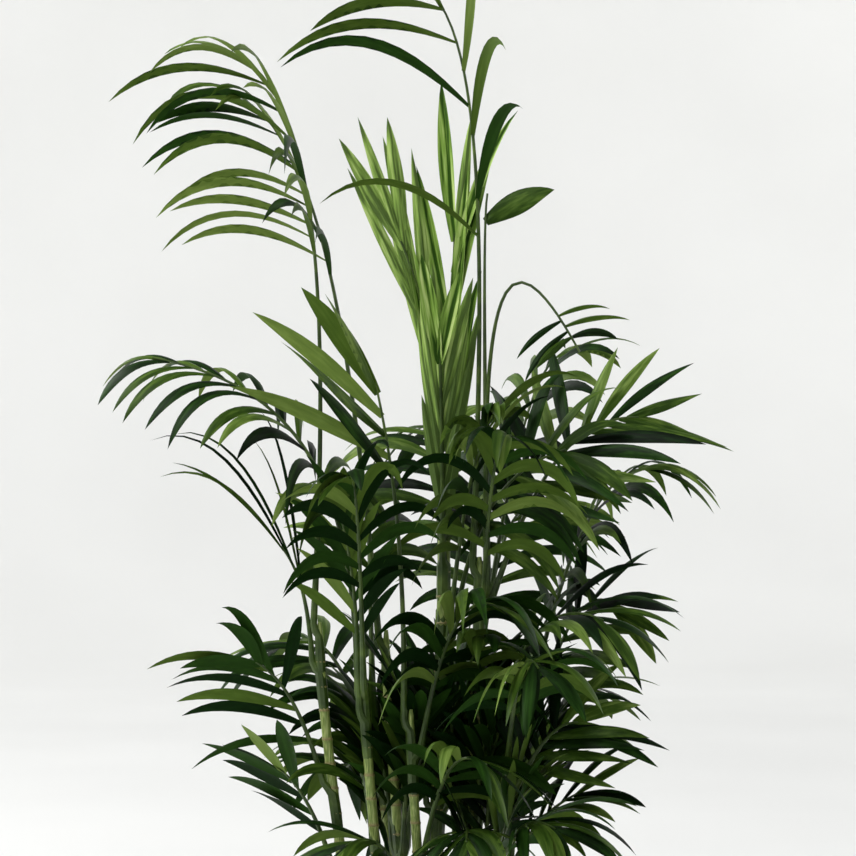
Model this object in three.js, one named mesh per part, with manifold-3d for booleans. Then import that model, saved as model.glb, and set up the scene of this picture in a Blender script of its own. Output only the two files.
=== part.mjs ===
// A parlour palm, about 0.89 m tall, in a plain clay pot. Ten slender canes stand in one clump, and each
// carries a few fronds: a thin rib with narrow leaflets along both sides of its outer part.
// Millimetres, +Z up, +X to the right, +Y to the back. The origin is the middle of the pot's flat underside.
import * as THREE from 'three';
import { mergeVertices } from 'three/addons/utils/BufferGeometryUtils.js';
import Module from 'manifold-3d';

const wasm = await Module();
wasm.setup();

// ---------- Driving dimensions ----------

const CLEARANCE = 0.4; // between any two pieces

// The pot: an open clay tub with a thick rim, closed at the bottom.
const POT_HEIGHT = 160;
const POT_FOOT_RADIUS = 61;
const POT_NECK_RADIUS = 78; // just under the rim
const POT_RIM_RADIUS = 86;
const POT_RIM_HEIGHT = 30;
const POT_WALL = 7;
const POT_FLOOR = 9;
const POT_ROUNDING = 2.5;
const POT_SIDES = 40;

const SOIL_LEVEL = 142;

// The canes: [x, y] at the soil, [x, y] at the top, the height of the top above the table, and the cane's
// radius there.
const CANE_FLARE = 1.5; // how much thicker the foot is than the cane just above it
const CANE_FLARE_HEIGHT = 14;
const CANE_TAPER = 0.8; // added to the radius at the soil
const CANE_BUD_HEIGHT = 26; // the stretch under its top where the cane narrows to its bud
const CANE_BUD_RADIUS = 1.4;
const CANE_SIDES = 8;
const CANE_STEPS = 7;
const CANES = {
  far_left: { foot: [-62, -12], top: [-82, -22], height: 392, radius: 3.4 },
  left: { foot: [-36, -30], top: [-48, -40], height: 352, radius: 3.3 },
  inner_left: { foot: [-20, 4], top: [-33, 8], height: 384, radius: 3.4 },
  front: { foot: [-6, -36], top: [-14, -52], height: 330, radius: 3.2 },
  middle: { foot: [4, 6], top: [11, 6], height: 492, radius: 4.6 },
  inner_right: { foot: [28, -14], top: [37, -12], height: 440, radius: 3.8 },
  right: { foot: [50, 10], top: [66, 18], height: 318, radius: 3.4 },
  back_right: { foot: [24, 40], top: [32, 62], height: 346, radius: 3.3 },
  back_left: { foot: [-24, 38], top: [-44, 58], height: 340, radius: 3.3 },
  front_right: { foot: [36, -40], top: [54, -58], height: 284, radius: 3.2 },
};

// The fronds. A rib leaves its cane at the share `at` of the cane's length, towards the compass angle
// `azimuth` (0 is +X, 90 is +Y). It rises towards the knee and bends over to the tip: each is [how far out
// from the cane, how high above the table]. Its first share, `bare`, has no leaflets, and `pairs` of them
// follow: `leaf` is [longest length, width], and `spread` is how far they stand off the rib, in degrees at
// [the first pair, the last pair]. `roll` turns the blade about the rib, `lift` raises both rows out of the
// flat, and `sag` is how far the leaflets bow down. `turn` stands in for LEAF_TURN, and `lost` are the numbers
// of leaflets that have dropped off, counted from the cane.
const FRONDS = {
  tall_left: {
    cane: 'far_left', at: 0.97, azimuth: 196, knee: [-16, 764], tip: [60, 810],
    bare: 0.64, pairs: 7, leaf: [130, 10.5], spread: [54, 24], roll: 29, lift: -45, sag: 1.3, turn: [0.8, 0.3],
  },
  tall_inner_left: {
    cane: 'inner_left', at: 0.95, azimuth: 176, knee: [36, 730], tip: [102, 780],
    bare: 0.66, pairs: 6, leaf: [122, 10.5], spread: [50, 24], roll: 49, lift: -45, sag: 1.2, turn: [0.8, 0.3],
  },
  raised_left: {
    cane: 'front', at: 0.93, azimuth: 192, knee: [4, 470], tip: [27, 571],
    bare: 0.72, pairs: 3, leaf: [130, 15], spread: [50, 28], roll: 18, lift: -64, sag: 0.15,
  },
  hanging_left: {
    cane: 'left', at: 0.92, azimuth: 176, knee: [6, 560], tip: [158, 588],
    bare: 0.42, pairs: 11, leaf: [88, 11.5], spread: [72, 20], roll: -20, lift: 6, sag: 1.9,
  },
  thin_left: {
    cane: 'far_left', at: 0.86, azimuth: 176, knee: [10, 424], tip: [30, 448],
    bare: 0.5, pairs: 3, leaf: [164, 4.5], spread: [14, 6], roll: 0, lift: 8, sag: 0.95,
  },
  fan_left: {
    cane: 'far_left', at: 0.5, azimuth: 205, knee: [30, 346], tip: [62, 364],
    bare: 0.3, pairs: 7, leaf: [94, 11], spread: [66, 22], roll: 56, lift: 0, sag: 0.7,
    lost: [0, 2, 4, 6],
  },
  low_left: {
    cane: 'far_left', at: 0.26, azimuth: 196, knee: [24, 262], tip: [46, 282],
    bare: 0.3, pairs: 5, leaf: [84, 16], spread: [58, 28], roll: 26, lift: 0, sag: 0.3,
    lost: [0, 2, 4],
  },
  tall_middle: {
    cane: 'inner_right', at: 0.96, azimuth: 188, knee: [-12, 815], tip: [38, 862],
    bare: 0.52, pairs: 5, leaf: [160, 11], spread: [46, 44], roll: 46, lift: -44, sag: 1.3, turn: [0.7, 0.3],
    lost: [0, 3],
  },
  young_left: {
    cane: 'middle', at: 0.97, azimuth: 196, knee: [2, 600], tip: [34, 676],
    bare: 0.12, pairs: 5, leaf: [150, 11], spread: [11, 3], roll: 80, lift: 0, sag: 0,
  },
  young_right: {
    cane: 'middle', at: 0.97, azimuth: 346, knee: [4, 600], tip: [8, 684],
    bare: 0.12, pairs: 5, leaf: [156, 12], spread: [7, 2], roll: 80, lift: 0, sag: 0.5,
  },
  young_middle: {
    cane: 'middle', at: 0.84, azimuth: 262, knee: [6, 500], tip: [22, 590],
    bare: 0.1, pairs: 5, leaf: [112, 12], spread: [15, 6], roll: 0, lift: 0, sag: 0.1,
  },
  thin_right: {
    cane: 'inner_right', at: 0.9, azimuth: 336, knee: [-4, 738], tip: [80, 592],
    bare: 0.9, pairs: 3, leaf: [46, 6], spread: [94, 84], roll: 66, lift: 0, sag: 0.9,
  },
  broad_right: {
    cane: 'inner_right', at: 0.93, azimuth: 8, knee: [2, 688], tip: [6, 711],
    bare: 0.9, pairs: 2, leaf: [60, 21], spread: [58, 50], roll: 84, lift: 0, sag: 0.5, turn: [0, 0],
    lost: [0, 2, 3],
  },
  high_right: {
    cane: 'inner_right', at: 0.86, azimuth: 4, knee: [54, 546], tip: [120, 544],
    bare: 0.44, pairs: 9, leaf: [92, 12.5], spread: [76, 24], roll: 54, lift: 0, sag: 0.2,
  },
  spreading_right: {
    cane: 'right', at: 0.95, azimuth: 358, knee: [50, 512], tip: [106, 506],
    bare: 0.4, pairs: 9, leaf: [90, 10], spread: [68, 22], roll: 14, lift: 0, sag: 1.6,
  },
  back_high_right: {
    cane: 'back_right', at: 0.96, azimuth: 30, knee: [46, 590], tip: [88, 596],
    bare: 0.5, pairs: 9, leaf: [82, 10.5], spread: [70, 26], roll: 0, lift: 0, sag: 1.4,
  },
  middle_right: {
    cane: 'right', at: 0.8, azimuth: 350, knee: [42, 424], tip: [76, 404],
    bare: 0.32, pairs: 8, leaf: [84, 12], spread: [74, 26], roll: 40, lift: 0, sag: 0.5,
  },
  fan_right: {
    cane: 'front_right', at: 0.86, azimuth: 8, knee: [34, 322], tip: [56, 320],
    bare: 0.3, pairs: 7, leaf: [80, 12], spread: [66, 28], roll: 54, lift: 0, sag: 0.4,
  },
  low_right: {
    cane: 'right', at: 0.34, azimuth: 346, knee: [26, 246], tip: [58, 262],
    bare: 0.34, pairs: 5, leaf: [80, 10], spread: [62, 26], roll: 30, lift: 0, sag: 0.6,
  },
  leaning_right: {
    cane: 'middle', at: 0.66, azimuth: 342, knee: [26, 500], tip: [96, 520],
    bare: 0.4, pairs: 8, leaf: [92, 12], spread: [86, 30], roll: 64, lift: 0, sag: 1.05,
  },
  arching_right: {
    cane: 'inner_right', at: 0.5, azimuth: 330, knee: [50, 420], tip: [108, 396],
    bare: 0.36, pairs: 9, leaf: [92, 11], spread: [72, 24], roll: 24, lift: 0, sag: 0.9,
  },
  upright_middle: {
    cane: 'middle', at: 0.66, azimuth: 304, knee: [32, 516], tip: [70, 548],
    bare: 0.36, pairs: 9, leaf: [90, 12], spread: [66, 26], roll: 28, lift: 0, sag: 1.1,
  },
  upright_left: {
    cane: 'left', at: 0.86, azimuth: 222, knee: [8, 432], tip: [26, 476],
    bare: 0.36, pairs: 7, leaf: [68, 11], spread: [40, 18], roll: 34, lift: -14, sag: 0.5,
  },
  front_high: {
    cane: 'inner_right', at: 0.72, azimuth: 286, knee: [30, 540], tip: [86, 530],
    bare: 0.42, pairs: 9, leaf: [84, 12], spread: [60, 26], roll: -20, lift: 0, sag: 1.9,
  },
  front_middle: {
    cane: 'front', at: 0.82, azimuth: 336, knee: [30, 424], tip: [70, 406],
    bare: 0.36, pairs: 10, leaf: [94, 13], spread: [66, 26], roll: -18, lift: 0, sag: 1.7,
  },
  front_left: {
    cane: 'left', at: 0.94, azimuth: 262, knee: [30, 500], tip: [66, 502],
    bare: 0.42, pairs: 8, leaf: [76, 11.5], spread: [58, 20], roll: 34, lift: 0, sag: 1.5,
  },
  front_right: {
    cane: 'front_right', at: 0.96, azimuth: 288, knee: [30, 388], tip: [74, 366],
    bare: 0.4, pairs: 8, leaf: [84, 12], spread: [64, 26], roll: 18, lift: 0, sag: 1.5,
  },
  front_low: {
    cane: 'front', at: 0.42, azimuth: 314, knee: [28, 312], tip: [72, 294],
    bare: 0.36, pairs: 8, leaf: [84, 12], spread: [66, 26], roll: -18, lift: 0, sag: 1.4,
  },
  front_low_left: {
    cane: 'left', at: 0.46, azimuth: 108, knee: [30, 296], tip: [72, 278],
    bare: 0.36, pairs: 8, leaf: [84, 12], spread: [66, 26], roll: 24, lift: 0, sag: 1.4,
  },
  front_low_right: {
    cane: 'front_right', at: 0.4, azimuth: 316, knee: [28, 262], tip: [66, 248],
    bare: 0.36, pairs: 7, leaf: [80, 12], spread: [66, 26], roll: 16, lift: 0, sag: 1.2,
  },
  low_middle: {
    cane: 'inner_right', at: 0.2, azimuth: 268, knee: [34, 258], tip: [76, 238],
    bare: 0.34, pairs: 7, leaf: [84, 12], spread: [66, 26], roll: 20, lift: 0, sag: 1.3,
  },
  low_inner_left: {
    cane: 'inner_left', at: 0.4, azimuth: 128, knee: [30, 330], tip: [66, 336],
    bare: 0.36, pairs: 7, leaf: [82, 12], spread: [60, 26], roll: 20, lift: 0, sag: 1.2,
  },
  low_inner_right: {
    cane: 'middle', at: 0.36, azimuth: 301, knee: [32, 372], tip: [76, 380],
    bare: 0.36, pairs: 7, leaf: [84, 12], spread: [66, 26], roll: -16, lift: 0, sag: 1.4,
  },
  low_front_left: {
    cane: 'front', at: 0.18, azimuth: 208, knee: [28, 248], tip: [62, 232],
    bare: 0.36, pairs: 6, leaf: [78, 12], spread: [66, 28], roll: -14, lift: 0, sag: 1.1,
  },
  back_right: {
    cane: 'back_right', at: 0.84, azimuth: 58, knee: [42, 490], tip: [108, 470],
    bare: 0.4, pairs: 9, leaf: [96, 13], spread: [70, 26], roll: 14, lift: 0, sag: 1.1,
  },
  back_middle: {
    cane: 'middle', at: 0.74, azimuth: 96, knee: [56, 560], tip: [124, 534],
    bare: 0.4, pairs: 9, leaf: [100, 13], spread: [72, 26], roll: -12, lift: 0, sag: 1.1,
  },
  back_left: {
    cane: 'back_left', at: 0.96, azimuth: 96, knee: [38, 500], tip: [100, 482],
    bare: 0.42, pairs: 8, leaf: [74, 13], spread: [60, 26], roll: 18, lift: 0, sag: 1.1,
  },
  back_low_left: {
    cane: 'back_left', at: 0.68, azimuth: 144, knee: [40, 388], tip: [94, 366],
    bare: 0.38, pairs: 7, leaf: [90, 13], spread: [68, 26], roll: -14, lift: 0, sag: 1.1,
  },
  back_low: {
    cane: 'back_right', at: 0.44, azimuth: 88, knee: [36, 320], tip: [94, 298],
    bare: 0.36, pairs: 7, leaf: [90, 13], spread: [68, 26], roll: 16, lift: 0, sag: 1.0,
  },
  back_low_right: {
    cane: 'right', at: 0.6, azimuth: 34, knee: [34, 352], tip: [76, 336],
    bare: 0.36, pairs: 7, leaf: [74, 13], spread: [68, 26], roll: 0, lift: 0, sag: 0.9,
  },
};

// The rib: a three-sided rod that thins from its root to its tip.
const RIB_ROOT_RADIUS = 2.3;
const RIB_TIP_RADIUS = 0.8;
const RIB_STEPS = 9;
const KNEE_HUG = 0.72; // how closely the curve follows the straight lines to the knee

// The leaflet: a narrow three-sided blade, flat below and ridged along the top.
const LEAF_LINE_STEPS = 12; // steps that its bowed middle line is worked out in
const LEAF_RINGS = [0, 2, 7, 12]; // the steps where the blade has a corner
const FREE_LEAF_RINGS = [3, 5, 7, 12]; // the same without the blade's root
const LEAF_SINK = 0.4; // how deep the root goes past the rib's middle, as a share of the rib's radius
const LEAF_RIDGE = 0.016; // the blade's thickness as a share of its length
const LEAF_BOW = 1.5; // above 1, a leaflet bows more towards its tip
const LEAF_TURN = [0, 0.35]; // how far the blade turns to face up, at its root and at its tip
const LEAF_JITTER = { angle: 7, length: 0.1, sag: 0.3 };
const FIRST_SEED = 101; // of the dice for the first frond's leaflets
const SMOOTHING = 0.02; // faces are joined where that moves them by less
const LAST_LEAFLET = 0.96; // share of the rib where the last pair stands
const STAGGER = 0.45; // the second row starts this share of a space further along the rib

// Where a leaflet would touch another piece, these changes are tried in turn: [degrees of spread, degrees of
// lift, share of its length].
const LEAF_TRIES = [
  [0, 0, 1], [0, 9, 1], [0, -9, 1], [9, 0, 1], [-9, 0, 1], [9, 9, 1], [-9, 9, 1], [9, -9, 1], [-9, -9, 1],
  [0, 18, 1], [0, -18, 1], [16, 9, 1], [-16, 9, 1], [0, 0, 0.75], [0, 14, 0.75], [0, -14, 0.75], [0, 27, 1],
  [0, -27, 1], [12, 0, 0.55], [-12, 0, 0.55],
];

// ---------- Small helpers ----------

const UP = new THREE.Vector3(0, 0, 1);
const radians = THREE.MathUtils.degToRad;
const mix = THREE.MathUtils.lerp;

// Whole-number dice, the same on every machine: next() gives -1 to 1.
class Dice {
  constructor(seed) {
    this.state = seed;
  }
  next() {
    this.state = (this.state * 16807) % 2147483647;
    return (this.state / 2147483647) * 2 - 1;
  }
}

// A closed three.js geometry as a solid that can be joined and measured.
function solidOf(geometry) {
  const bare = geometry.index ? geometry.toNonIndexed() : geometry.clone();
  bare.deleteAttribute('normal');
  bare.deleteAttribute('uv');
  const merged = mergeVertices(bare, 1e-4);
  const mesh = new wasm.Mesh({
    numProp: 3,
    vertProperties: merged.attributes.position.array,
    triVerts: new Uint32Array(merged.index.array),
  });
  return new wasm.Manifold(mesh);
}

// A solid's surface as a three.js geometry.
function geometryOf(solid) {
  const { vertProperties, triVerts, numProp, numVert } = solid.getMesh();
  const positions = new Float32Array(numVert * 3);
  for (let i = 0; i < numVert; i++) {
    positions.set(vertProperties.subarray(i * numProp, i * numProp + 3), i * 3);
  }
  const geometry = new THREE.BufferGeometry();
  geometry.setAttribute('position', new THREE.BufferAttribute(positions, 3));
  geometry.setIndex(new THREE.BufferAttribute(new Uint32Array(triVerts), 1));
  return geometry.toNonIndexed();
}

// Pieces fused into one body. A hollow that this seals is filled, and a loose scrap is dropped.
function fuse(pieces) {
  const shells = wasm.Manifold.union(pieces).simplify(SMOOTHING).decompose();
  return shells.reduce((largest, shell) => (shell.volume() > largest.volume() ? shell : largest));
}

// Moves each point of a geometry by a function that is given the point and returns its new place.
function reshape(geometry, place) {
  const position = geometry.attributes.position;
  const point = new THREE.Vector3();
  for (let i = 0; i < position.count; i++) {
    point.fromBufferAttribute(position, i);
    position.setXYZ(i, ...place(point).toArray());
  }
  return geometry;
}

// ---------- The pot and its soil ----------

function lathe(outline, sides) {
  const points = outline.map(([radius, height]) => new THREE.Vector2(radius, height));
  const turned = new THREE.LatheGeometry(points, sides);
  return reshape(turned, ({ x, y, z }) => new THREE.Vector3(x, -z, y));
}

// The inner wall's radius at a height, parallel to the outer wall under the rim.
function innerRadius(height) {
  const neck = POT_HEIGHT - POT_RIM_HEIGHT;
  return mix(POT_FOOT_RADIUS, POT_NECK_RADIUS, height / neck) - POT_WALL;
}

function potGeometry() {
  const neck = POT_HEIGHT - POT_RIM_HEIGHT;
  const round = POT_ROUNDING;
  return lathe([
    [0, 0],
    [POT_FOOT_RADIUS - round, 0],
    [POT_FOOT_RADIUS, round],
    [POT_NECK_RADIUS, neck],
    [POT_RIM_RADIUS - round, neck],
    [POT_RIM_RADIUS, neck + round],
    [POT_RIM_RADIUS, POT_HEIGHT - round],
    [POT_RIM_RADIUS - round, POT_HEIGHT],
    [innerRadius(POT_HEIGHT) + round, POT_HEIGHT],
    [innerRadius(POT_HEIGHT), POT_HEIGHT - round],
    [innerRadius(POT_FLOOR), POT_FLOOR],
    [0, POT_FLOOR],
  ], POT_SIDES);
}

function soilGeometry() {
  const bottom = POT_FLOOR + CLEARANCE;
  return lathe([
    [0, bottom],
    [innerRadius(bottom) - CLEARANCE, bottom],
    [innerRadius(SOIL_LEVEL) - CLEARANCE, SOIL_LEVEL],
    [0, SOIL_LEVEL],
  ], POT_SIDES);
}

// ---------- The canes ----------

function canePoint(cane, share) {
  const bow = share * share * (3 - 2 * share); // upright at the foot and again at the top
  return new THREE.Vector3(
    mix(cane.foot[0], cane.top[0], bow),
    mix(cane.foot[1], cane.top[1], bow),
    mix(SOIL_LEVEL + CLEARANCE, cane.height, share),
  );
}

function caneRadius(cane, share) {
  const above = share * (cane.height - SOIL_LEVEL);
  const below = (1 - share) * (cane.height - SOIL_LEVEL);
  const flare = CANE_FLARE * Math.max(0, 1 - above / CANE_FLARE_HEIGHT) ** 2;
  const body = cane.radius + CANE_TAPER * (1 - share) + flare;
  return mix(CANE_BUD_RADIUS, body, Math.min(1, below / CANE_BUD_HEIGHT) ** 0.7);
}

function caneGeometry(cane) {
  const column = new THREE.CylinderGeometry(1, 1, 1, CANE_SIDES, CANE_STEPS);
  return reshape(column, ({ x, y, z }) => {
    const share = 0.5 - 0.5 * Math.cos(Math.PI * (y + 0.5)); // shorter steps at the foot and the bud
    const radius = caneRadius(cane, share);
    return canePoint(cane, share).add(new THREE.Vector3(x * radius, -z * radius, 0));
  });
}

// ---------- The fronds ----------

// The rib's middle curve, and the evenly spaced points on it that its rod bends at.
function ribOf(frond) {
  const cane = CANES[frond.cane];
  const at = canePoint(cane, frond.at);
  const out = new THREE.Vector3(1, 0, 0).applyAxisAngle(UP, radians(frond.azimuth));
  const root = at.clone().addScaledVector(out, caneRadius(cane, frond.at) + RIB_ROOT_RADIUS + CLEARANCE);
  const knee = at.clone().addScaledVector(out, frond.knee[0]).setZ(frond.knee[1]);
  const tip = at.clone().addScaledVector(out, frond.tip[0]).setZ(frond.tip[1]);
  const curve = new THREE.CubicBezierCurve3(
    root,
    root.clone().lerp(knee, KNEE_HUG),
    tip.clone().lerp(knee, KNEE_HUG),
    tip,
  );
  return { curve, bends: curve.getSpacedPoints(RIB_STEPS) };
}

function ribRadius(share) {
  return mix(RIB_ROOT_RADIUS, RIB_TIP_RADIUS, share);
}

// A place on the rib, by its share of the length.
function pointOn(rib, share) {
  const reach = share * RIB_STEPS;
  const i = Math.min(Math.floor(reach), RIB_STEPS - 1);
  return rib.bends[i].clone().lerp(rib.bends[i + 1], reach - i);
}

// The rib's direction, the blade's side to the left of it, and the way its upper face looks.
function ribFrame(frond, rib, share) {
  const forward = rib.curve.getTangentAt(share);
  const azimuth = radians(frond.azimuth);
  const side = new THREE.Vector3(-Math.sin(azimuth), Math.cos(azimuth), 0);
  const face = forward.clone().cross(side);
  const roll = radians(frond.roll);
  return {
    forward,
    side: side.clone().multiplyScalar(Math.cos(roll)).addScaledVector(face, Math.sin(roll)),
    face: face.clone().multiplyScalar(Math.cos(roll)).addScaledVector(side, -Math.sin(roll)),
  };
}

function ribSolid(frond, rib) {
  const rod = new THREE.CylinderGeometry(1, 1, 1, 3, RIB_STEPS);
  return solidOf(reshape(rod, ({ x, y, z }) => {
    const share = y + 0.5;
    const { side, face } = ribFrame(frond, rib, share);
    const radius = ribRadius(share);
    return pointOn(rib, share).addScaledVector(side, x * radius).addScaledVector(face, -z * radius);
  }));
}

// One frond's leaflets: for each, its row, its share along the rib, and its own size and angles.
function leafletsOf(frond, seed) {
  const dice = new Dice(seed);
  const leaflets = [];
  for (let pair = 0; pair < frond.pairs; pair++) {
    for (const row of [1, -1]) {
      const last = pair === frond.pairs - 1;
      const place = Math.min(1, (pair + (row < 0 ? STAGGER : 0)) / (frond.pairs - 1));
      const fullness = 0.74 + 0.26 * Math.sin(Math.PI * (0.15 + 0.7 * place));
      leaflets.push({
        row,
        share: mix(frond.bare, LAST_LEAFLET, place),
        spread: mix(frond.spread[0], frond.spread[1], place) + LEAF_JITTER.angle * dice.next(),
        lift: frond.lift + LEAF_JITTER.angle * dice.next(),
        length: frond.leaf[0] * (last ? 0.72 : fullness) * (1 + LEAF_JITTER.length * dice.next()),
        width: frond.leaf[1] * (last ? 1.2 : fullness),
        sag: frond.sag * (1 + LEAF_JITTER.sag * dice.next()),
      });
    }
  }
  return leaflets.filter((leaflet, number) => !frond.lost?.includes(number));
}

// The blade's width along its length, as a share of the widest: a narrow root, a full middle, a long point.
function bladeWidth(u) {
  return 0.3 * (1 - u) ** 6 + Math.sin(Math.PI * u ** 1.1) ** 0.8 * (1 - 0.25 * u);
}

// A leaflet's middle line with the blade's facing at each point, after one of LEAF_TRIES is applied.
function leafletLine(frond, rib, leaflet, [widen, raise, shorten]) {
  const { forward, side, face } = ribFrame(frond, rib, leaflet.share);
  const spread = radians(leaflet.spread + widen);
  const lift = radians(leaflet.lift + raise);
  const start = forward.clone().multiplyScalar(Math.cos(spread))
    .addScaledVector(side, leaflet.row * Math.sin(spread) * Math.cos(lift))
    .addScaledVector(face, Math.sin(spread) * Math.sin(lift));
  const facing = forward.clone().cross(start).normalize().multiplyScalar(leaflet.row);
  const headingAt = (u) => start.clone().addScaledVector(UP, -leaflet.sag * u ** LEAF_BOW).normalize();
  const step = (leaflet.length * shorten) / LEAF_LINE_STEPS;
  const point = pointOn(rib, leaflet.share);
  const stations = [];
  for (let i = 0; i <= LEAF_LINE_STEPS; i++) {
    const u = i / LEAF_LINE_STEPS;
    const heading = headingAt(u);
    const turn = mix(...(frond.turn ?? LEAF_TURN), u);
    const normal = facing.clone().multiplyScalar(1 - turn).addScaledVector(UP, turn);
    normal.addScaledVector(heading, -normal.dot(heading)).normalize();
    stations.push({ u, point: point.clone(), heading, normal });
    point.addScaledVector(headingAt(u + 0.5 / LEAF_LINE_STEPS), step);
  }
  stations[0].point.addScaledVector(start, -LEAF_SINK * ribRadius(leaflet.share));
  return stations;
}

// The blade as a closed three-sided spindle with its corners at the given rings.
function bladeSolid(stations, length, width, rings) {
  const spans = rings.length - 1;
  const spindle = new THREE.SphereGeometry(1, 3, spans);
  const ridge = length * LEAF_RIDGE;
  return solidOf(reshape(spindle, ({ x, y, z }) => {
    const { u, point, heading, normal } = stations[rings[spans - Math.round(Math.acos(y) / Math.PI * spans)]];
    const across = heading.clone().cross(normal);
    const around = Math.hypot(x, z);
    if (around < 1e-3) {
      return point.clone();
    }
    const edge = z / around / Math.sin(Math.PI / 3);
    const high = Math.max(0, -x / around);
    return point.clone()
      .addScaledVector(across, edge * width * 0.5 * bladeWidth(u))
      .addScaledVector(normal, high * ridge * (1 - 0.5 * u));
  }));
}

// ---------- Putting the plant together ----------

const placed = []; // every solid so far, with its node's name and its box

function boxOf(solid) {
  const { min, max } = solid.boundingBox();
  return new THREE.Box3(new THREE.Vector3(...min), new THREE.Vector3(...max)).expandByScalar(CLEARANCE);
}

function keep(node, solid) {
  placed.push({ node, solid, box: boxOf(solid) });
}

function isClear(node, solid) {
  const box = boxOf(solid);
  return placed.every((other) => other.node === node
    || !other.box.intersectsBox(box)
    || other.solid.minGap(solid, CLEARANCE) >= CLEARANCE * 0.9);
}

const CLAY = { color: 0xb4633f, roughness: 0.85, metalness: 0 };
const SOIL = { color: 0x2f2219, roughness: 1, metalness: 0 };
const CANE = { color: 0x6c8a3a, roughness: 0.55, metalness: 0 };
const YOUNG_LEAF = { color: 0x7f9c38, roughness: 0.45, metalness: 0 };
const LEAF = { color: 0x2f5a1c, roughness: 0.4, metalness: 0 };

const palm = new THREE.Group();

function addNode(name, geometry, finish) {
  const mesh = new THREE.Mesh(geometry, new THREE.MeshStandardMaterial(finish));
  mesh.name = name;
  palm.add(mesh);
}

function addWhole(name, geometry, finish) {
  keep(name, solidOf(geometry));
  addNode(name, geometry, finish);
}

addWhole('pot', potGeometry(), CLAY);
addWhole('soil', soilGeometry(), SOIL);
for (const [name, cane] of Object.entries(CANES)) {
  addWhole(`cane_${name}`, caneGeometry(cane), CANE);
}

// Every rib is in place before the first leaflet.
const ribs = Object.entries(FRONDS).map(([name, frond], index) => {
  const node = `frond_${name}`;
  const rib = ribOf(frond);
  const solid = ribSolid(frond, rib);
  if (!isClear(node, solid)) {
    throw new Error(`the rib of ${node} touches another piece`);
  }
  keep(node, solid);
  return { node, frond, rib, solid, seed: FIRST_SEED + index };
});

// A leaflet is left out where every try would touch another frond or a cane.
for (const { node, frond, rib, solid, seed } of ribs) {
  const grown = [solid];
  const outer = []; // this frond's blades without their roots, which may meet at the rib
  for (const leaflet of leafletsOf(frond, seed)) {
    for (const change of LEAF_TRIES) {
      const stations = leafletLine(frond, rib, leaflet, change);
      const length = leaflet.length * change[2];
      const blade = bladeSolid(stations, length, leaflet.width, LEAF_RINGS);
      const free = bladeSolid(stations, length, leaflet.width, FREE_LEAF_RINGS);
      if (isClear(node, blade) && outer.every((other) => other.minGap(free, CLEARANCE) >= CLEARANCE * 0.5)) {
        grown.push(blade);
        outer.push(free);
        break;
      }
    }
  }
  grown.slice(1).forEach((blade) => keep(node, blade));
  addNode(node, geometryOf(fuse(grown)), node.startsWith('frond_young') ? YOUNG_LEAF : LEAF);
}

export default palm;
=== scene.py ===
"""A parlour palm in a clay pot: canes, arching fronds of narrow leaflets, potting mix and pot."""
from math import cos, floor, hypot, pi, radians, sin, sqrt

import bmesh
import bpy
import numpy as np
from mathutils import Matrix, Vector, noise
from mathutils.kdtree import KDTree


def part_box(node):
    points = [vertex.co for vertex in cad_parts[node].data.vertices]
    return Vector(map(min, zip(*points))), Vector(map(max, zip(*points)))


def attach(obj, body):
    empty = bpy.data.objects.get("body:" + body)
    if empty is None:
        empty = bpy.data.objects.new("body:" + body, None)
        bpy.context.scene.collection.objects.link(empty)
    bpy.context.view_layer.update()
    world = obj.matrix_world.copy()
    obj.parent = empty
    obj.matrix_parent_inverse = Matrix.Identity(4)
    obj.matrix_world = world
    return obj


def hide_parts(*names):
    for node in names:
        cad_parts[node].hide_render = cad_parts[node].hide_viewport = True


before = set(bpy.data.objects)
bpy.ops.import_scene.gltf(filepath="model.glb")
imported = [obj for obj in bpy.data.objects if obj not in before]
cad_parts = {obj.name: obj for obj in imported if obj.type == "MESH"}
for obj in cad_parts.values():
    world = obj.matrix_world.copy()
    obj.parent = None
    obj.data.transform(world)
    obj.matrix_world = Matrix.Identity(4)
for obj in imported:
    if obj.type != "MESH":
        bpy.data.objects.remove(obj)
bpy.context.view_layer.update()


# ------------------------------------------------------------
# The view and the studio: a camera level with the middle of the crown, a pale floor that curves up into a
# wall all round, and large soft lights. Most of the light comes from behind and above, as by a window.

# In metres, as everything is that doesn't say otherwise.
VIEW_DISTANCE = 2.2
VIEW_HEIGHT = 0.536
VIEW_SIDE = -0.0015
VIEW_WIDTH = 0.642  # of the picture, measured at the plant
SENSOR = 36.0

camera_data = bpy.data.cameras.new("view")
camera_data.sensor_width = SENSOR
camera_data.lens = SENSOR * VIEW_DISTANCE / VIEW_WIDTH
camera = bpy.data.objects.new("view", camera_data)
camera.location = (VIEW_SIDE, -VIEW_DISTANCE, VIEW_HEIGHT)
camera.rotation_euler = (pi / 2, 0, 0)
bpy.context.collection.objects.link(camera)
bpy.context.scene.camera = camera
bpy.context.scene.view_settings.view_transform = "Standard"  # whites stay white

FLOOR_RADIUS = 4.2
FLOOR_DROP = 0.0005  # keeps it clear of the pot's underside
WALL_CURVE = 1.6  # radius of the bend from the floor up into the wall
WALL_TOP = 3.4
BEND_STEPS = 10
STUDIO_SIDES = 96
PAPER_PATCH = 0.667


def linear(code):
    """An sRGB hex colour as Blender's linear red, green, blue and alpha."""
    parts = [int(code[i : i + 2], 16) / 255 for i in (1, 3, 5)]
    return tuple(c / 12.92 if c <= 0.04045 else ((c + 0.055) / 1.055) ** 2.4 for c in parts) + (1.0,)


def new_material(name):
    material = bpy.data.materials.new(name)
    material.use_nodes = True
    material.node_tree.nodes.clear()
    return material


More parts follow.
